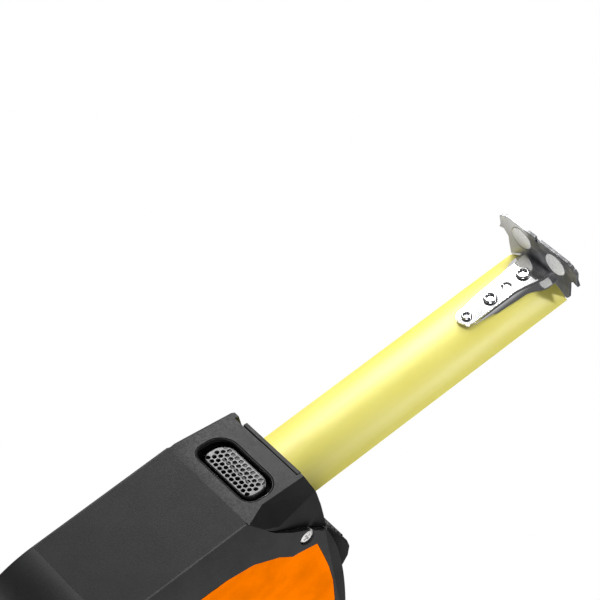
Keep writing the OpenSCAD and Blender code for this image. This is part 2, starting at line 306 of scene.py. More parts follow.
@dataclass(frozen=True)
class MouldedPlastic:
    """Moulded plastic, rubber or satin plating with a fine grain, dull patches and paler edges, which are
    partly wear and partly a painted edge highlight.
    """

    name: str
    colour: Colour
    roughness: float = 0.45
    grain: float = 0.35
    grain_depth: float = 0.02
    # strength of the pale edges, partly wear and partly painted highlight
    edge: float = 0.35
    coat: float = 0.0
    sheen: float = 0.5

    def build(self) -> bpy.types.Material:
        """Make the material."""
        g = Graph(self.name)
        cloud = g.noise(9.0, 4.0)
        fine = g.noise(self.grain, 2.0, 0.6)
        specks = g.noise(self.grain * 2.3, 2.0, 0.7)
        # pale edges: partly wear, partly a painted highlight along the rounded edges
        wear_and_edge_highlight = g.edges(0.35) * cloud.ramp(0.35, 0.6)
        pale = tuple(min(1.0, c * 1.9 + 0.03) for c in self.colour)
        dim = tuple(c * 0.8 for c in self.colour)
        body = g.blend(cloud.ramp(0.3, 0.7), dim, self.colour)
        body = g.blend(wear_and_edge_highlight * self.edge, body, pale)
        rough = specks.ramp(0.3, 0.7, self.roughness - 0.06, self.roughness + 0.07) - wear_and_edge_highlight * 0.1
        normal = g.bump(fine, self.grain_depth)
        values = {"Base_Color": body, "Roughness": rough, "Normal": normal, "Coat_Weight": self.coat}
        return g.finish(**values, Specular_IOR_Level=self.sheen)


@dataclass(frozen=True)
class PolishedMetal:
    """Bright plated or brushed metal with faint smears and fine scratches."""

    name: str
    colour: Colour = (0.8, 0.8, 0.82)
    roughness: float = 0.08
    smear: float = 0.06
    scratch: float = 0.001
    direction: Colour = (1.0, 1.0, 1.0)
    metallic: float = 1.0

    def tone(self, g: Graph, smears: Signal, lines: Signal) -> tuple[Signal, Signal]:
        """Colour, and roughness on top of that of the smears."""
        shaded = tuple(c * 0.9 for c in self.colour)
        return g.blend(smears.ramp(0.3, 0.75), self.colour, shaded), lines.ramp(0.62, 0.72) * self.smear

    def build(self) -> bpy.types.Material:
        """Make the material."""
        g = Graph(self.name)
        smears = g.noise(3.5, 4.0, 0.6)
        lines = g.noise(0.5, 3.0, 0.7, self.direction)
        body, extra = self.tone(g, smears, lines)
        rough = smears.ramp(0.3, 0.7, self.roughness, self.roughness + self.smear) + extra
        normal = g.bump(lines, self.scratch)
        return g.finish(Base_Color=body, Metallic=self.metallic, Roughness=rough, Normal=normal)


@dataclass(frozen=True)
class TintedMetal(PolishedMetal):
    """Plated metal with a painted reflection: painted light grey on one side and dark on the other, with an
    uneven border.
    """

    # colour of the side where a dark reflection is painted
    dark: Colour = (0.07, 0.072, 0.078)
    middle: float = -4.5
    border: float = 1.6
    metallic: float = 0.2

    def tone(self, g: Graph, smears: Signal, lines: Signal) -> tuple[Signal, Signal]:
        """Painted reflection colour and added roughness, which both change across the border."""
        # painted reflection: one side of x is painted light grey and the other dark, as the chrome would
        # reflect
        side = g.axis("X") + (g.noise(6.0) - 0.5) * 3.0
        painted_reflection_side = side.ramp(self.middle - self.border, self.middle + self.border)
        return g.blend(painted_reflection_side * smears.ramp(0.2, 0.6, 0.75, 1.0), self.colour, self.dark), painted_reflection_side * 0.12


@dataclass(frozen=True)
class BladeCoat:
    """Coated steel tape, plain underneath."""

    name: str
    colour: Colour = (0.72, 0.63, 0.09)
    pale: Colour = (0.76, 0.7, 0.17)
    roughness: float = 0.36

    def body(self, g: Graph) -> Signal:
        """Coat colour with slow patches and lengthwise streaks."""
        cloud = g.noise(22.0, 3.0, 0.5, (1.0, 0.45, 1.0))
        streak = g.noise(1.6, 3.0, 0.6, (1.0, 0.02, 1.0))
        mix = cloud.ramp(0.3, 0.72) * 0.75 + streak.ramp(0.35, 0.7) * 0.2
        return g.blend(mix, self.colour, self.pale)

    def build(self) -> bpy.types.Material:
        """Make the material."""
        g = Graph(self.name)
        fine = g.noise(0.5, 3.0, 0.6)
        rough = fine.ramp(0.3, 0.7, self.roughness, self.roughness + 0.1)
        return g.finish(Base_Color=self.body(g), Roughness=rough, Normal=g.bump(fine, 0.004))


@dataclass(frozen=True)
class GraduatedCoat(BladeCoat):
    """Coated steel tape with a millimetre scale along both edges."""

    roughness: float = 0.3
    zero_y: float = HOOK_FACE_Y
    half_width: float = 11.03  # as seen across the bent blade
    ink: Colour = (0.012, 0.012, 0.014)

    def body(self, g: Graph) -> Signal:
        """Coat colour with the lines of the scale: millimetres, then fives, then tens."""
        across = abs(g.axis("X"))
        along = g.axis("Y") - self.zero_y
        inked: Signal | None = None
        for step, length, width in ((1.0, 2.6, 0.16), (5.0, 4.2, 0.2), (10.0, 6.4, 0.24)):
            near = abs((along / step + 0.5).fraction() - 0.5) * step
            tick = (near < width / 2) * (across > self.half_width - length)
            inked = tick if inked is None else inked.at_least(tick)
        return g.blend(inked, super().body(g), self.ink)


class Finish(Enum):
    """Every finish on the object, by its record slot."""

    SHELL = MouldedPlastic("shell_black", (0.024, 0.024, 0.026), 0.5)
    RUBBER = MouldedPlastic("rubber_black", (0.04, 0.0402, 0.0415), 0.55, 0.4, 0.03, 0.25, 0.0, 0.3)
    NOSE = MouldedPlastic("nose_black", (0.03, 0.0302, 0.031), 0.52, 0.32, 0.03, 0.5, 0.0, 0.14)
    GLOSS = MouldedPlastic("gloss_black", (0.008, 0.008, 0.009), 0.16, 0.6, 0.003, 0.1, 0.4)
    ORANGE = MouldedPlastic("orange_panel", (1.0, 0.2, 0.0), 0.6, 0.5, 0.006, 0.1, 0.0, 0.0)
    BUTTON = MouldedPlastic("button_rubber", (0.05, 0.05, 0.052), 0.4, 0.3, 0.01, 0.6)
    DRUM = MouldedPlastic("drum_black", (0.03, 0.03, 0.034), 0.5)
    SCREW = MouldedPlastic("screw_chrome", (0.85, 0.84, 0.83), 0.2, 0.5, 0.003, 0.2)
    POST = PolishedMetal("post_steel", (0.55, 0.56, 0.58), 0.3, 0.1, 0.004, (1.0, 0.05, 0.05))
    SPRING = PolishedMetal("spring_steel", (0.22, 0.25, 0.31), 0.3, 0.1, 0.003)
    RIVET = PolishedMetal("rivet_chrome", (0.8, 0.8, 0.81), 0.1)
    HOOK = PolishedMetal("hook_chrome", (0.84, 0.84, 0.85), 0.05, 0.05, 0.0006)
    MAGNET = MouldedPlastic("magnet_nickel", (0.75, 0.75, 0.76), 0.3, 0.5, 0.002, 0.1)
    CLIP = PolishedMetal("clip_steel", (0.5, 0.5, 0.52), 0.28, 0.1, 0.003, (1.0, 1.0, 0.05))
    # near-black steel painted into the rivet holes as shade
    DARK = PolishedMetal("spring_steel_painted_shade", (0.03, 0.03, 0.035), 0.4)
    INK = MouldedPlastic("scale_ink", (0.012, 0.012, 0.014), 0.35, 0.5, 0.002)
    # the hook plate's two tones are a painted reflection
    PLATE = TintedMetal("hook_chrome_painted_reflection", (0.6, 0.6, 0.61), 0.3, 0.1, 0.002)
    BLADE = BladeCoat("blade_yellow")
    BLADE_TOP = GraduatedCoat("blade_scale")

    def material(self) -> bpy.types.Material:
        """The finish's material, made once. Its name differs from the frame's own plain materials."""
        return bpy.data.materials.get(f"{self.value.name}_look") or self.value.build()

    @property
    def slot(self) -> str:
        """The record's material slot."""
        stands_for = {
            "BLADE_TOP": "blade_yellow",
            "INK": "blade_yellow",
            "DARK": "spring_steel",
            "PLATE": "hook_chrome",
        }
        return stands_for.get(self.name, self.value.name)


# --- Mesh building ---


def add_object(name: str, data: Any) -> bpy.types.Object:
    """Link a new object to the scene."""
    obj = bpy.data.objects.new(name, data)
    bpy.context.scene.collection.objects.link(obj)
    return obj


def smoothstep(values: Array, low: float, high: float) -> Array:
    """Smooth step from 0 at low to 1 at high: 3t squared minus 2t cubed."""
    t = np.clip((values - low) / (high - low), 0.0, 1.0)
    return t * t * (3.0 - 2.0 * t)


def outline(half_x: float, half_y: float, front: float, back: float, count: int = 240) -> Array:
    """Points round a rounded rectangle, evenly spaced along it.

    A quarter circle goes round each corner, and the points between come from the distance along the whole
    path.

    Args:
        half_x: Half length along x.
        half_y: Half length along y.
        front: Radius of the two corners towards -y.
        back: Radius of the two corners towards +y.
        count: Number of points.

    Returns:
        Array of count (x, y) pairs, anticlockwise.
    """
    turn = np.linspace(0.0, math.pi / 2, 24)
    corners = []
    rounds = ((1, 1, back), (-1, 1, back), (-1, -1, front), (1, -1, front))
    for quarter, (sx, sy, radius) in enumerate(rounds):
        angle = turn + quarter * math.pi / 2
        centre = np.array([sx * (half_x - radius), sy * (half_y - radius)])
        corners.append(centre + radius * np.stack([np.cos(angle), np.sin(angle)], -1))
    path = np.vstack(corners + [corners[0][:1]])
    run = np.concatenate([[0.0], np.cumsum(np.linalg.norm(np.diff(path, axis=0), axis=1))])
    at = np.linspace(0.0, run[-1], count, endpoint=False)
    return np.stack([np.interp(at, run, path[:, k]) for k in (0, 1)], -1)


def turned(profile: Sequence[tuple[float, float]], centre: Colour, axis: Colour, count: int = 64) -> Array:
    """Loops of a lathed piece.

    A point at radius r and height h lies at centre + h * axis + r * (cos(a) * u + sin(a) * v), where u and v
    span the plane across the axis.

    Args:
        profile: (radius, height) pairs in order.
        centre: Foot of the axis in millimetres.
        axis: Direction of the axis.
        count: Points round each loop.

    Returns:
        Array of (profile length, count, 3) points.
    """
    along = np.array(axis, float) / np.linalg.norm(axis)
    u = np.cross(along, (0.0, 0.0, 1.0) if abs(along[2]) < 0.9 else (1.0, 0.0, 0.0))
    u /= np.linalg.norm(u)
    v = np.cross(along, u)
    a = np.linspace(0.0, 2 * math.pi, count, endpoint=False)[:, None]
    ring = np.cos(a) * u + np.sin(a) * v
    radius, height = np.array(profile, float).T[:, :, None, None]
    return np.array(centre) + height * along + radius * ring


def skin(
    name: str, parts: Sequence[Array], wrap: bool = False, slots: Array | None = None
) -> bpy.types.Object:
    """Make one object from rows of closed loops, with faces outward.

    Neighbouring loops are joined by quads. The first and last loop are capped, or joined to each other.

    Args:
        name: Name of the object.
        parts: One array of (rows, points, 3) in millimetres for each separate solid.
        wrap: Join the last loop to the first.
        slots: Material index of each quad, (rows - 1, points), the same for every part.

    Returns:
        The object, smooth apart from its sharp edges.
    """
    points: list[Array] = []
    faces: list[list[int]] = []
    index: list[int] = []
    start = 0
    for loops in parts:
        rows, count = loops.shape[:2]
        grid = np.arange(rows * count).reshape(rows, count)
        first = grid if wrap else grid[:-1]
        second = np.roll(grid, -1, 0) if wrap else grid[1:]
        quads = np.stack([first, np.roll(first, -1, 1), np.roll(second, -1, 1), second], -1).reshape(-1, 4)
        flat = loops.reshape(-1, 3)
        a, b, c, d = (flat[quads[:, k]] for k in range(4))
        volume = np.einsum("ij,ij->", a, np.cross(b, c)) + np.einsum("ij,ij->", a, np.cross(c, d))
        caps = [] if wrap else [grid[0][::-1], grid[-1]]
        for cap in caps:
            ring = flat[cap]
            volume += np.einsum("ij,ij->", np.cross(ring, np.roll(ring, -1, 0)), np.tile(ring[0], (count, 1)))
        marks = np.zeros(len(quads), int) if slots is None else slots.reshape(-1)
        step = -1 if volume < 0 else 1
        faces += (quads[:, ::step] + start).tolist() + [(cap[::step] + start).tolist() for cap in caps]
        index += marks.tolist() + ([] if wrap else [marks[0], marks[-1]])
        points.append(flat)
        start += len(flat)
    mesh = bpy.data.meshes.new(name)
    mesh.from_pydata((np.vstack(points) * MM).tolist(), [], faces)
    mesh.polygons.foreach_set("material_index", np.array(index, dtype=np.int32))
    mesh.update()
    obj = add_object(name, mesh)
    smooth(obj)
    return obj


def smooth(obj: bpy.types.Object, angle: float = 32.0) -> None:
    """Shade a mesh smooth, apart from edges sharper than an angle."""
    obj.data.polygons.foreach_set("use_smooth", np.ones(len(obj.data.polygons), dtype=bool))
    bm = bmesh.new()
    bm.from_mesh(obj.data)
    for edge in bm.edges:
        edge.smooth = edge.calc_face_angle(0.0) < math.radians(angle)
    bm.to_mesh(obj.data)
    bm.free()


def dress(obj: bpy.types.Object, *finishes: Finish) -> None:
    """Give an object its finishes: a new object gets one for each slot, in order; one that has slots already
    gets the first finish in all of them.
    """
    if obj.data.materials:
        for slot in range(len(obj.data.materials)):
            obj.data.materials[slot] = finishes[0].material()
        return
    for finish in finishes:
        obj.data.materials.append(finish.material())


def place(obj: bpy.types.Object, body: str, finishes: Sequence[Finish], *replaced: str) -> None:
    """Dress a new piece, tie it to its body and hide the CAD nodes it stands for.

    Args:
        obj: The new piece.
        body: The body it moves with.
        finishes: One finish for each material slot.
        *replaced: Names of the CAD nodes it stands for.
    """
    dress(obj, *finishes)
    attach(obj, body)
    if replaced:
        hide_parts(*replaced)
    LOG.info("%s: %d faces on %s", obj.name, len(obj.data.polygons), body)


def softened(node: str, width: float) -> bpy.types.Object:
    """Copy a CAD node as clean faces, with edges sharper than 20 degrees rounded.

    Args:
        node: Name of the CAD node.
        width: Width of the rounding in millimetres.

    Returns:
        The new object.
    """
    angle = 20.0
    name = f"{node}_soft"
    mesh = FRAME["nodes"][node].data.copy()
    mesh.name = name
    bm = bmesh.new()
    bm.from_mesh(mesh)
    bmesh.ops.remove_doubles(bm, verts=bm.verts, dist=2e-6)
    bmesh.ops.dissolve_limit(bm, angle_limit=math.radians(0.6), verts=bm.verts, edges=bm.edges)
    bm.to_mesh(mesh)
    bm.free()
    mesh.materials.clear()
    obj = add_object(name, mesh)
    smooth(obj, angle)
    bevel = configure(obj.modifiers.new("round", "BEVEL"), width=width * MM, segments=3, limit_method="ANGLE")
    configure(bevel, angle_limit=math.radians(angle), use_clamp_overlap=True, miter_outer="MITER_ARC")
    configure(obj.modifiers.new("weigh", "WEIGHTED_NORMAL"), keep_sharp=True)
    return obj


def soften(body: str, *rows: tuple[str, Finish, float]) -> None:
    """Stand softened copies in for CAD nodes of one body: (node, finish, width) for each."""
    for node, finish, width in rows:
        place(softened(node, width), body, (finish,), node)


# --- Stage ---


@dataclass(frozen=True)
class Patch:
    """A bright patch of the surround: its direction, angles of full and no effect, and level."""

    towards: Colour
    inner: float
    outer: float
    level: float


@dataclass(frozen=True)
class Lamp:
    """A soft square lamp.

    Its fields are a name, what it aims at, the direction from there to the lamp, its distance and width in
    metres, the brightness of its face and the spread of its beam in degrees.
    """

    name: str
    aim: Colour
    towards: Colour
    distance: float
    size: float
    radiance: float
    spread: float

    def build(self) -> None:
        """Make the lamp. Its power is radiance * pi * size squared, that of a square that shines evenly."""
        power = self.radiance * math.pi * self.size**2
        data = bpy.data.lights.new(self.name, "AREA")
        configure(data, energy=power, size=self.size, spread=math.radians(self.spread))
        obj = add_object(self.name, data)
        way = Vector(self.towards).normalized()
        spot = Vector(self.aim) + way * self.distance
        obj.matrix_world = Matrix.Translation(spot) @ way.to_track_quat("Z", "Y").to_matrix().to_4x4()


@dataclass(frozen=True)
class Studio:
    """Camera, floor, backdrop and soft lights."""

    eye: tuple[float, float, float] = (324.84, 143.66, -496.91)
    azimuth: float = 121.35
    elevation: float = -50.2
    roll: float = 169.15
    lens: float = 150.0
    dim: float = 0.12
    patches: tuple[Patch, ...] = (
        Patch((-0.5, 0.4, 0.76), 15.0, 45.0, 0.75),
        Patch((-0.53, -0.33, -0.8), 12.0, 32.0, 0.9),
        Patch((-0.9, -0.4, -0.15), 10.0, 35.0, 0.6),
    )
    lamps: tuple[Lamp, ...] = (
        Lamp("key", (0.0, -0.08, 0.0), (-0.68, -0.52, -0.52), 0.5, 0.3, 2.65, 70.0),
        Lamp("strip", (0.0, -0.106, 0.0), (0.5, -0.45, -0.7), 0.5, 0.1, 0.5, 8.0),
        Lamp("fill", (0.0, 0.0, 0.03), (0.75, 0.6, 0.3), 1.0, 0.6, 12.0, 180.0),
    )

    def axes(self) -> tuple[Vector, Vector, Vector]:
        """Right, up and back of the view, from its three angles."""
        turn, rise, tilt = (math.radians(a) for a in (self.azimuth, self.elevation, self.roll))
        back = Vector((math.sin(turn) * math.cos(rise), -math.cos(turn) * math.cos(rise), math.sin(rise)))
        level = Vector((math.cos(turn), math.sin(turn), 0.0))
        over = back.cross(level)
        right = level * math.cos(tilt) + over * math.sin(tilt)
        return right, back.cross(right), back

    def camera(self) -> None:
        """Put the camera at the viewing angle."""
        data = bpy.data.cameras.new("camera")
        configure(data, lens=self.lens, sensor_width=36.0, clip_start=0.01, clip_end=20.0)
        obj = add_object("camera", data)
        right, up, back = self.axes()
        turn = Matrix((right, up, back)).transposed().to_4x4()
        obj.matrix_world = Matrix.Translation(Vector(self.eye) * MM) @ turn
        bpy.context.scene.camera = obj

    def floor(self) -> None:
        """Pale floor, seen from above only, so that it hides nothing from a view below it."""
        size = 6.0
        mesh = bpy.data.meshes.new("floor")
        corners = [(-size, -size, 0), (size, -size, 0), (size, size, 0), (-size, size, 0)]
        mesh.from_pydata(corners, [], [(0, 1, 2, 3)])
        obj = add_object("floor", mesh)
        g = Graph("floor_pale")
        below = g.signal(g.node("ShaderNodeNewGeometry"), "Backfacing")
        seen = g.signal(g.node("ShaderNodeLightPath"), "Is Camera Ray")
        clear = g.node("ShaderNodeBsdfTransparent")
        g.finish(Base_Color=(0.86, 0.86, 0.86), Roughness=0.6)
        show = seen * (1.0 - below)
        mix = g.node("ShaderNodeMixShader", None, [show, clear.outputs[0], g.shader.outputs[0]])
        g.tree.links.new(mix.outputs[0], g.output.inputs["Surface"])
        mesh.materials.append(g.material)
        obj.location.z = -0.0002

    def world(self) -> None:
        """White backdrop, and an uneven surround for light and reflections.

        The surround is dim, with soft bright patches. Each patch fades with the angle from its middle.
        """
        world = bpy.data.worlds.new("studio")
        world.use_nodes = True
        tree = world.node_tree
        tree.nodes.clear()
        look = add_node(tree, "ShaderNodeTexCoord").outputs["Generated"]
        level: Any = self.dim
        for patch in self.patches:
            middle = Vector(patch.towards).normalized()
            dot = add_node(tree, "ShaderNodeVectorMath", DOT, [look, middle]).outputs["Value"]
            outer, inner = (math.cos(math.radians(angle)) for angle in (patch.outer, patch.inner))
            fade = add_node(tree, "ShaderNodeMapRange", SMOOTH, [dot, outer, inner, 0.0, patch.level])
            level = add_node(tree, "ShaderNodeMath", None, [fade.outputs[0], level]).outputs[0]
        soft = add_node(tree, "ShaderNodeBackground", None, {"Color": (1.0, 1.0, 1.0), "Strength": level})
        white = add_node(tree, "ShaderNodeBackground", None, {"Color": (1.0, 1.0, 1.0)})
        seen = add_node(tree, "ShaderNodeLightPath").outputs["Is Camera Ray"]
        mix = add_node(tree, "ShaderNodeMixShader", None, [seen, soft.outputs[0], white.outputs[0]])
        add_node(tree, "ShaderNodeOutputWorld", None, [mix.outputs[0]])
        bpy.context.scene.world = world

    def build(self) -> None:
        """Set the whole stage."""
        self.camera()
        self.floor()
        self.world()
        for lamp in self.lamps:
            lamp.build()
        bpy.context.scene.view_settings.view_transform = "Standard"


# --- The object ---

FRAME: dict[str, Any] = {}


@dataclass(frozen=True)
class Case:
    """Shells, rubber jacket, panels, nose and their fixings."""

    soft_edges: tuple[tuple[str, Finish, float], ...] = (
        ("right_shell", Finish.SHELL, 0.2),
        ("left_shell", Finish.SHELL, 0.2),
        ("right_grip", Finish.RUBBER, 0.45),
        ("left_grip", Finish.RUBBER, 0.45),
        ("right_nose", Finish.NOSE, 0.3),
        ("left_nose", Finish.NOSE, 0.3),
        ("lip_strip", Finish.NOSE, 0.25),
        ("mouth_bumper", Finish.RUBBER, 0.4),
        ("clip_boss", Finish.SHELL, 0.4),
    )
    screw_places: tuple[tuple[float, float], ...] = ((-31.7, 16.6), (-31.0, 66.0), (25.5, 64.0), (29.0, 10.0))
    screw_face: float = 19.2
    head_radius: float = 2.05
    cross_turn: float = 20.0
    dome: float = 0.45
    skirt: float = 1.6
    slot_depth: float = 0.75
    slot_wall: tuple[float, float] = (0.2, 0.34)
    slot_end: tuple[float, float] = (0.95, 1.25)

    def shells(self) -> None:
        """Build the moulded pieces with rounded edges."""
        soften("case", *self.soft_edges)
        for node in ("right_panel", "left_panel"):
            dress(FRAME["nodes"][node], Finish.ORANGE)

    def screws(self) -> None:
        """Build the cross-head screws as height fields.

        The head is a shallow dome. The recess is two crossed slots, each a smooth trough of the distance
        from its centre line, which end at a fixed radius.
        """
        radii = np.concatenate([np.linspace(0.02, 1.0, 30), [1.04, 1.04]]) * self.head_radius
        turn = np.linspace(0.0, 2 * math.pi, 120, endpoint=False)
        u = radii[:, None] * np.cos(turn)
        v = radii[:, None] * np.sin(turn)
        tilt = math.radians(self.cross_turn)
        across = np.abs(u * math.cos(tilt) + v * math.sin(tilt))
        along = np.abs(v * math.cos(tilt) - u * math.sin(tilt))
        slots = [
            (1 - smoothstep(a, *self.slot_wall)) * (1 - smoothstep(b, *self.slot_end))
            for a, b in ((across, along), (along, across))
        ]
        reach = np.hypot(u, v) / self.head_radius
        face = self.screw_face - self.dome * reach**3 - self.slot_depth * np.maximum(*slots)
        face[-1] = self.screw_face - self.skirt
        heads = [np.stack([face, u + y, v + z], -1) for y, z in self.screw_places]
        place(skin("case_screws_cross", heads), "case", (Finish.SCREW,), "case_screws")


@dataclass(frozen=True)
class FingerBrake:
    """Recessed button on the nose ramp with its ring, dimpled pad and springs."""

    middle_y: float = -26.8
    ramp_start: float = -18.0
    ramp_slope: float = 4.0 / 20.3
    ring: tuple[float, ...] = (11.7, 5.45, 5.35, 3.65)
    pad: tuple[float, ...] = (9.2, 3.9, 3.8, 2.5)
    pad_depth: float = 0.85
    pad_top: float = 3.4
    pitch: float = 1.55
    row_pitch: float = 1.36
    dimple: float = 0.6
    dimple_floor: float = 0.42
    dimple_depth: float = 0.8
    stem_x: float = 6.65
    spring_radius: float = 2.0
    wire: float = 0.25
    spring_turns: float = 3.0
    spring_ends: tuple[float, float] = (4.5, 6.26)

    def ramp(self, y: Array) -> Array:
        """Height of the nose ramp: a straight rise towards the front."""
        return np.maximum(0.0, (self.ramp_start - y) * self.ramp_slope)

    def loop(self, size: tuple[float, ...], inset: float, depth: float) -> Array:
        """Closed loop of a size, drawn in by inset, at a depth above the ramp."""
        flat = outline(*(value - inset for value in size))
        y = flat[:, 1] + self.middle_y
        return np.stack([flat[:, 0], y, self.ramp(y) + depth], -1)

    def bezel(self) -> None:
        """Build the ring: a rolled rim outside, then a steep inner wall."""
        steps = ((0.0, 1.2), (0.0, 0.3), (0.1, 0.1), (0.25, 0.04), (0.42, 0.1), (0.6, 0.35), (0.75, 0.8),
                 (0.9, 1.6), (1.1, 2.4), (1.1, 3.2), (0.3, 3.2))
        loops = np.array([self.loop(self.ring, inset, depth) for inset, depth in steps])
        place(skin("button_ring", [loops], wrap=True), "case", (Finish.GLOSS,), "button_bezel")

    def pad_face(self, x: Array, y: Array) -> Array:
        """Depth of the pad's face: a raised net round staggered dimples.

        The nearest dimple of a staggered grid is found by rounding, and a smooth bowl of its distance is
        cut there.
        """
        row = np.round(y / self.row_pitch)
        shift = np.where(row % 2 == 0, 0.0, self.pitch / 2)
        near = np.round((x - shift) / self.pitch) * self.pitch + shift
        gap = np.hypot(x - near, y - row * self.row_pitch)
        inside = (np.abs(row) <= 2) & (np.abs(near) < self.pad[0] - 1.0)
        bowl = self.dimple_depth * (1 - smoothstep(gap, self.dimple_floor, self.dimple))
        return self.pad_depth + np.where(inside, bowl, 0.0)

    def pad_cover(self) -> None:
        """Build the rubber pad as loops that shrink from its outline to its middle line."""
        edge = outline(*self.pad)
        reach = self.pad[0] - self.pad[1]
        spine = np.stack([np.clip(edge[:, 0], -reach, reach), np.zeros(len(edge))], -1)
        shares = np.concatenate([[1.0, 1.0, 0.985, 0.955, 0.92], np.linspace(0.89, 0.03, 44)])
        flat = spine + (edge - spine) * shares[:, None, None]
        x, y = flat[:, :, 0], flat[:, :, 1]
        lift = np.array([self.pad_top, 0.45, 0.22, 0.08, 0.02] + [0.0] * 44)[:, None]
        z = self.ramp(y + self.middle_y) + self.pad_face(x, y) + lift
        z[0] = self.pad_top
        # the dimple floors take the near-black gloss finish: painted shade in the hollows
        deep = self.pad_face(x, y) > self.pad_depth + 0.3
        slots = (deep[1:] & deep[:-1]).astype(int)
        cover = skin("button_face", [np.stack([x, y + self.middle_y, z], -1)], slots=slots)
        place(cover, "button", (Finish.BUTTON, Finish.GLOSS), "button_pad")

    def springs(self) -> None:
        """Build the two coil springs: a round wire swept along a helix between the button and the nose."""
        turn = np.linspace(0.0, self.spring_turns * 2 * math.pi, 145)
        low, high = self.spring_ends[0] + self.wire, self.spring_ends[1] - self.wire
        around = np.linspace(0.0, 2 * math.pi, 12, endpoint=False)
        reach = self.spring_radius + self.wire * np.cos(around)
        height = low + (high - low) * (turn / turn[-1])[:, None] + self.wire * np.sin(around)
        x, y = np.cos(turn)[:, None] * reach, np.sin(turn)[:, None] * reach
        coils = [np.stack([x + side * self.stem_x, y + self.middle_y, height], -1) for side in (-1, 1)]
        place(skin("button_coils", coils), "case", (Finish.SPRING,), "button_spring")

    def build(self) -> None:
        """Build every piece of the brake."""
        self.bezel()
        self.pad_cover()
        self.springs()
        soften("button", ("brake_button", Finish.GLOSS, 0.15), ("brake_shoe", Finish.RUBBER, 0.3))


@dataclass(frozen=True)
class Blade:
    """Curved measuring blade with its scale."""

    reach: float = 128.0
    valley_z: float = VALLEY_Z
    radius: float = BLADE_RADIUS
    thickness: float = 0.3
    half_width: float = 12.5
    flat_from: float = -22.0
    flat_z: float = 12.1
    travel: float = 87.0
    digit: float = 3.4
    stroke: float = 0.42
    last_number: int = 11

    def surface(self, across: Array, y: Array, lift: float | Array) -> Array:
        """Points on the blade.

        The section is an arc of constant length. Its curvature k fades to nothing towards the reel:
        x = sin(k * u) / k and z = (1 - cos(k * u)) / k, for a distance u across the blade.

        Args:
            across: Distance across the blade from its middle line.
            y: Place along the blade.
            lift: Height above the convex face, along the surface's normal.

        Returns:
            Array of points.
        """
        across, y, lift = np.broadcast_arrays(across, y, lift)
        fade = smoothstep(y, self.flat_from, -1.0)
        k = (1 - fade) / self.radius + 1e-4
        angle = k * across
        x = np.sin(angle) / k - np.sin(angle) * lift
        z = (1 - np.cos(angle)) / k + np.cos(angle) * lift
        return np.stack([x, y, self.valley_z + (self.flat_z - self.valley_z) * fade + z], -1)

    def sink(self, obj: bpy.types.Object) -> None:
        """Give a piece its own copy of its mesh."""
        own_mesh(obj)

    def strip(self) -> None:
        """Build the steel strip with the scale on its hollow face."""
        columns = 41
        u = np.linspace(-self.half_width, self.half_width, columns)
        across = np.concatenate([u, u[::-1]])
        lift = np.concatenate([np.zeros(columns), np.full(columns, self.thickness)])
        seen = np.linspace(-self.reach, self.flat_from, 72)
        y = np.concatenate([seen, np.linspace(self.flat_from + 0.5, 0.0, 32)])
        slots = np.zeros((len(y) - 1, 2 * columns), int)
        slots[:, columns:-1] = 1
        obj = skin("blade_strip", [self.surface(across, y[:, None], lift)], slots=slots)
        place(obj, "blade", (Finish.BLADE, Finish.BLADE_TOP), "blade", "blade_leader")
        self.sink(obj)

    def digit_strokes(self, value: int) -> list[tuple[float, ...]]:
        """Strokes of a seven-stroke digit in a box one half wide and one high.

        A stroke's letter is t, m or b for top, middle and bottom, L or l for left, upper or lower, and R or
        r for right.
        """
        strokes = {
            "t": (0, 1, 0.5, 1), "m": (0, 0.5, 0.5, 0.5), "b": (0, 0, 0.5, 0),
            "L": (0, 0.5, 0, 1), "l": (0, 0, 0, 0.5), "R": (0.5, 0.5, 0.5, 1), "r": (0.5, 0, 0.5, 0.5),
        }
        digits = ("tbLlRr", "Rr", "tmbRl", "tmbRr", "mLRr", "tmbLr", "tmbLlr", "tRr", "tmbLlRr", "tmbLRr")
        return [strokes[letter] for letter in digits[value]]

    def numbers(self) -> None:
        """Build the printed centimetre numbers as thin raised strokes along the middle of the hollow face.

        Each stroke is a flat box bent with the blade: four rings of four corners along its length.
        """
        boxes = []
        size = self.digit
        for centimetre in range(1, self.last_number + 1):
            text = str(centimetre)
            foot = HOOK_FACE_Y + centimetre * 10 - size / 2
            for index, letter in enumerate(text):
                left = (index - len(text) / 2) * size * 0.78 + 0.14 * size
                for x0, y0, x1, y1 in self.digit_strokes(int(letter)):
                    start, end = (-left - x0 * size, foot + y0 * size), (-left - x1 * size, foot + y1 * size)
                    boxes.append(self.stroke_box(*start, *end))
        obj = skin("blade_numbers", boxes)
        place(obj, "blade", (Finish.INK,))
        self.sink(obj)

    def stroke_box(self, x0: float, y0: float, x1: float, y1: float) -> Array:
        """Rings of one stroke between two points on the blade."""
        run = np.array([x1 - x0, y1 - y0])
        run /= np.linalg.norm(run)
        side = np.array([-run[1], run[0]]) * self.stroke / 2
        share = np.linspace(0.0, 1.0, 4)[:, None]
        spots = np.array([x0, y0]) - run * self.stroke / 2
        spots = spots + share * (np.array([x1 - x0, y1 - y0]) + run * self.stroke)
        low, high = self.thickness - 0.02, self.thickness + 0.03
        corners = ((1, low), (-1, low), (-1, high), (1, high))
        return np.stack([
            self.surface(*(spots + sign * side).T, np.full(4, lift)) for sign, lift in corners
        ], 1)

    def build(self) -> None:
        """Build the blade and its numbers."""
        self.strip()
        self.numbers()


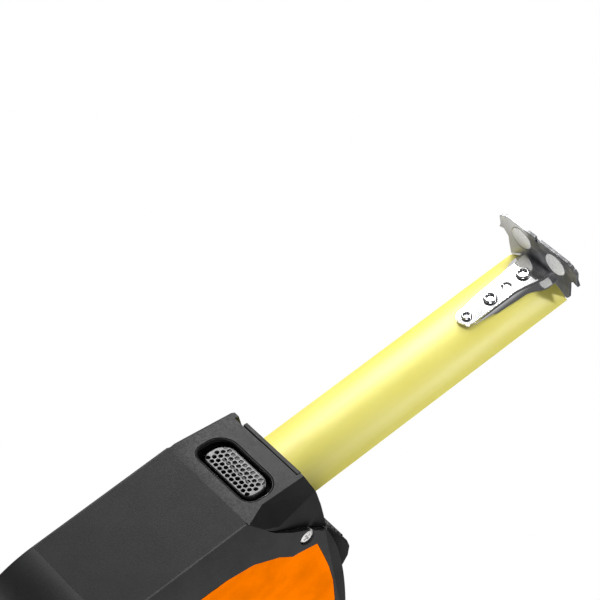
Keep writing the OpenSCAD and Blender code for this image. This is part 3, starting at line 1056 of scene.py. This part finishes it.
@dataclass(frozen=True)
class EndHook:
    """Riveted tang, T-shaped plate, hollow rivets and magnets."""

    back: float = HOOK_FACE_Y
    thickness: float = 1.0
    valley: float = VALLEY_Z
    blade_radius: float = BLADE_RADIUS
    flat_z: float = 9.3
    strip_half: float = 2.75
    slope: float = 0.35
    wing: float = 0.3
    rivet_places: tuple[tuple[float, float], ...] = ((5.6, 1.95), (17.2, 1.95), (25.5, 1.45))
    pip: float = 11.4
    pip_depth: float = 0.3
    pip_rim: tuple[float, float] = (0.9, 1.5)
    tip_centre: float = 25.1
    tip_radius: float = 3.2
    hollow: float = 0.48  # of a rivet's radius
    magnet_x: float = 6.4
    magnet_z: float = 4.8
    magnet_radius: float = 3.64

    @property
    def arc_z(self) -> float:
        """Height of the line that the blade's section bends round."""
        return self.valley + self.blade_radius

    def half_width(self, along: Array) -> Array:
        """Half width of the tang at a distance from the hook.

        Wide by the hook, drawn in by a smooth waist, then a slow taper that ends in a round tip.
        """
        waist = 7.0 - 2.1 * smoothstep(along, 2.6, 9.5) - 0.45 * smoothstep(along, 9.0, 17.0)
        taper = waist - 1.25 * smoothstep(along, 16.0, 26.0)
        past = np.maximum(along - self.tip_centre, 0.0)
        tip = np.sqrt(np.maximum(self.tip_radius**2 - past**2, 0.0))
        return np.where(along > self.tip_centre, tip, np.maximum(taper, self.tip_radius))

    def half_strip(self, along: Array) -> Array:
        """Half width of the raised strip: it widens towards the hook and stays inside the outline."""
        wide = self.strip_half + 1.7 * (1 - smoothstep(along, 1.0, 12.0))
        return np.minimum(wide, self.half_width(along) - self.slope)

    def columns(self, along: Array) -> tuple[Array, Array]:
        """Places and heights across the tang, in rows along it.

        Columns follow the strip's edge, so that it stays crisp: even steps over the flat, eased steps down
        the slope and even steps over the thin wing. The flat is level, so its height over the curved blade
        grows away from the middle. A small round dimple lies between two rivets.

        Args:
            along: Distances from the hook, one for each row.

        Returns:
            The x places and the heights over the blade, both (rows, columns).
        """
        strip = np.maximum(self.half_strip(along), 0.02)[:, None]
        outer = np.maximum(self.half_width(along)[:, None], strip + 0.01)
        slope = np.minimum(self.slope, (outer - strip) * 0.9)
        flat, down, wing = np.linspace(0, 1, 24), np.linspace(0.12, 1, 8), np.linspace(0.1, 1, 9)
        thin = strip + slope + wing * (outer - strip - slope)
        half = np.concatenate([flat * strip, strip + down * slope, thin], 1)
        ease = np.concatenate([np.zeros(24), smoothstep(down, 0.0, 1.0), np.ones(9)])
        level = np.hypot(half, self.arc_z - self.flat_z) - self.blade_radius
        high = level * (1 - ease) + self.wing * ease
        gap = np.hypot(half, along[:, None] - self.pip)
        high = high - self.pip_depth * (1 - smoothstep(gap, *self.pip_rim))
        high[:, -1] = 0.12
        return np.concatenate([-half[:, :0:-1], half], 1), np.concatenate([high[:, :0:-1], high], 1)

    def tang(self) -> None:
        """Build the tang as a height field over the blade, closed below."""
        bend = np.linspace(0.0, math.pi / 2, 26)
        tip = self.tip_centre + (self.tip_radius - 0.01) * np.sin(bend)
        along = np.concatenate([np.linspace(0.0, self.tip_centre - 0.1, 160), tip])
        x, top = self.columns(along)
        lift = np.concatenate([top, np.full_like(top, 0.06)], 1)
        x = np.concatenate([x, x[:, ::-1]], 1)
        reach = self.blade_radius + lift
        angle = np.arcsin(x / (self.blade_radius + 0.5))
        y = np.broadcast_to(self.back + along[:, None], x.shape)
        loops = np.stack([np.sin(angle) * reach, y, self.arc_z - np.cos(angle) * reach], -1)
        place(skin("tang_strip", [loops]), "hook", (Finish.HOOK,), "hook_tang")

    def rivets(self) -> None:
        """Build the hollow rivets: a rolled ring round a deep hole whose wall and floor are painted dark as
        shade, and a flat closing head on top.
        """
        parts = []
        roll = 13
        for along, radius in self.rivet_places:
            around = np.linspace(0.0, math.pi, roll)
            hole = radius * self.hollow
            middle, half = (radius + hole) / 2, (radius - hole) / 2
            rim = [(radius, 0.9)]
            rim += zip(middle + half * np.cos(around), 1.15 + 0.43 * np.sin(around))
            rim += [(hole * 0.97, 0.84), (hole * 0.85, 0.78), (hole * 0.4, 0.77), (0.03, 0.77)]
            parts.append(turned(rim, (0.0, self.back + along, self.valley), (0, 0, -1)))
        rows, count = parts[0].shape[:2]
        slots = np.zeros((rows - 1, count), int)
        # the wall and floor of each hole take the near-black finish: painted shade
        slots[roll:] = 1
        place(skin("rivet_rings", parts, slots=slots), "blade", (Finish.RIVET, Finish.DARK), "rivets")
        head = [(0.03, 0.9), (1.1, 0.88), (1.5, 0.72), (1.6, 0.5), (1.6, 0.36)]
        feet = [(0.0, self.back + along, self.valley) for along, _ in self.rivet_places]
        heads = [turned(head, foot, (0, 0, 1)) for foot in feet]
        place(skin("rivet_heads", heads), "blade", (Finish.RIVET,))

    def magnets(self) -> None:
        """Build the disc magnets, each with a dark groove round a pale face on both sides."""
        r = self.magnet_radius
        half = self.thickness / 2
        groove = [(r - 0.02, half - 0.32), (r - 0.1, half - 0.3), (r - 0.24, half - 0.28)]
        face = [(r - 0.26, half - 0.02), (r - 0.34, half + 0.04), (r - 0.6, half + 0.05), (0.05, half + 0.05)]
        side = groove + face
        profile = [(a, -b) for a, b in reversed(side)] + side
        centres = [(s * self.magnet_x, self.back - half, self.magnet_z) for s in (-1, 1)]
        parts = [turned(profile, centre, (0, 1, 0), 96) for centre in centres]
        place(skin("magnet_discs", parts), "hook", (Finish.MAGNET,), "magnets")

    def build(self) -> None:
        """Build every piece of the hook."""
        self.tang()
        self.rivets()
        self.magnets()
        soften("hook", ("hook_plate", Finish.PLATE, 0.14))


@dataclass(frozen=True)
class Reel:
    """Hub, drum, flanges, wound blade and power spring inside the case."""

    axis_z: float = 41.0
    coil: tuple[float, ...] = (19.5, 28.5, 22, 12.5, 0.3)
    mainspring: tuple[float, ...] = (7.0, 15.6, 16, 11.5, 0.3)
    spinning: tuple[tuple[str, Finish, float], ...] = (
        ("reel_drum", Finish.DRUM, 0.3),
        ("right_flange", Finish.DRUM, 0.2),
        ("left_flange", Finish.DRUM, 0.2),
    )

    def ribbon(self, inner: float, outer: float, turns: float, half_width: float, thickness: float) -> Array:
        """Loops of a flat ribbon wound in an even spiral: its radius grows in proportion to its angle.

        Args:
            inner: Radius at the first turn.
            outer: Radius outside the last turn.
            turns: Number of turns.
            half_width: Half width along the reel's axis.
            thickness: Thickness of the ribbon.

        Returns:
            Array of (rows, 4, 3) points.
        """
        share = np.linspace(0.0, 1.0, int(72 * turns))
        angle = share * turns * 2 * math.pi
        radius = inner + (outer - inner - thickness) * share
        reach = radius[:, None] + np.array([0.0, 0.0, thickness, thickness])
        x = np.broadcast_to(np.array([-half_width, half_width, half_width, -half_width]), reach.shape)
        return np.stack([x, np.cos(angle)[:, None] * reach, self.axis_z + np.sin(angle)[:, None] * reach], -1)

    def build(self) -> None:
        """Build every piece round the reel."""
        soften("reel", *self.spinning)
        soften("case", ("hub_post", Finish.POST, 0.4), ("hub_caps", Finish.SHELL, 0.3))
        place(skin("wound_blade", [self.ribbon(*self.coil)]), "reel", (Finish.BLADE,), "blade_coil")
        place(skin("wound_spring", [self.ribbon(*self.mainspring)]), "reel", (Finish.SPRING,), "power_spring")


@dataclass(frozen=True)
class Lock:
    """Thumb lever with its ribs, arm and rubber pad."""

    soft_edges: tuple[tuple[str, Finish, float], ...] = (
        ("lock_lever", Finish.NOSE, 0.7),
        ("lever_grip", Finish.RUBBER, 0.25),
        ("lock_arm", Finish.POST, 0.2),
        ("lock_pad", Finish.RUBBER, 0.3),
    )

    def build(self) -> None:
        """Build every piece of the lock."""
        soften("lock", *self.soft_edges)


@dataclass(frozen=True)
class BeltClip:
    """Sprung steel clip, its base plate and its screw."""

    face_x: float = -24.1
    half_width: float = 9.0
    thickness: float = 1.0
    end_radius: float = 5.0

    def spring(self) -> None:
        """Build the bent strip.

        Its path is a smooth curve through a few chosen points, sampled evenly, and each section is a flat
        bar across the path. The half width shrinks along a quarter circle at the free end.
        """
        x = np.array([0.0, 0.0, 0.0, 0.25, 1.2, 2.25, 1.9, 0.6, -0.9]) + self.face_x - 0.5
        z = np.array([55.9, 46.0, 36.0, 30.5, 25.5, 21.2, 18.6, 16.4, 15.0])
        run = np.concatenate([[0.0], np.cumsum(np.hypot(np.diff(x), np.diff(z)))])
        at = np.linspace(0.0, run[-1], 120)
        path = np.stack([self.eased(at, run, x), self.eased(at, run, z)], -1)
        slope = np.gradient(path, at, axis=0)
        slope /= np.linalg.norm(slope, axis=1, keepdims=True)
        normal = np.stack([-slope[:, 1], slope[:, 0]], -1)
        left = np.clip(run[-1] - at, 0.0, self.end_radius)
        bow = np.sqrt(np.maximum(self.end_radius**2 - (self.end_radius - left) ** 2, 0.01))
        half = self.half_width - self.end_radius + bow
        share = np.array([-1.0, -0.97, 0.97, 1.0, 1.0, 0.97, -0.97, -1.0])
        lift = np.array([0.8, 1.0, 1.0, 0.8, -0.8, -1.0, -1.0, -0.8]) * self.thickness / 2
        spot = path[:, None, :] + normal[:, None, :] * lift[:, None]
        loops = np.stack([spot[:, :, 0], share * half[:, None], spot[:, :, 1]], -1)
        place(skin("clip_strip", [loops]), "clip", (Finish.CLIP,), "belt_clip")

    @staticmethod
    def eased(at: Array, run: Array, values: Array) -> Array:
        """Cubic curve through values at run, with the slope at each point from its neighbours."""
        slope = np.gradient(values, run)
        cell = np.clip(np.searchsorted(run, at) - 1, 0, len(run) - 2)
        step = run[cell + 1] - run[cell]
        t = (at - run[cell]) / step
        start = (1 + 2 * t) * (1 - t) ** 2 * values[cell] + t * (1 - t) ** 2 * step * slope[cell]
        return start + t * t * (3 - 2 * t) * values[cell + 1] + t * t * (t - 1) * step * slope[cell + 1]

    def build(self) -> None:
        """Build every piece of the clip."""
        self.spring()
        soften("case", ("clip_base", Finish.CLIP, 0.25), ("clip_screw", Finish.SCREW, 0.2))


def main() -> None:
    """Build the object and its stage."""
    logging.basicConfig(level=logging.INFO, format="%(message)s")
    FRAME.update(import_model())
    Studio().build()
    case = Case()
    case.shells()
    case.screws()
    FingerBrake().build()
    Blade().build()
    EndHook().build()
    Reel().build()
    Lock().build()
    BeltClip().build()


if __name__ == "__main__":
    main()
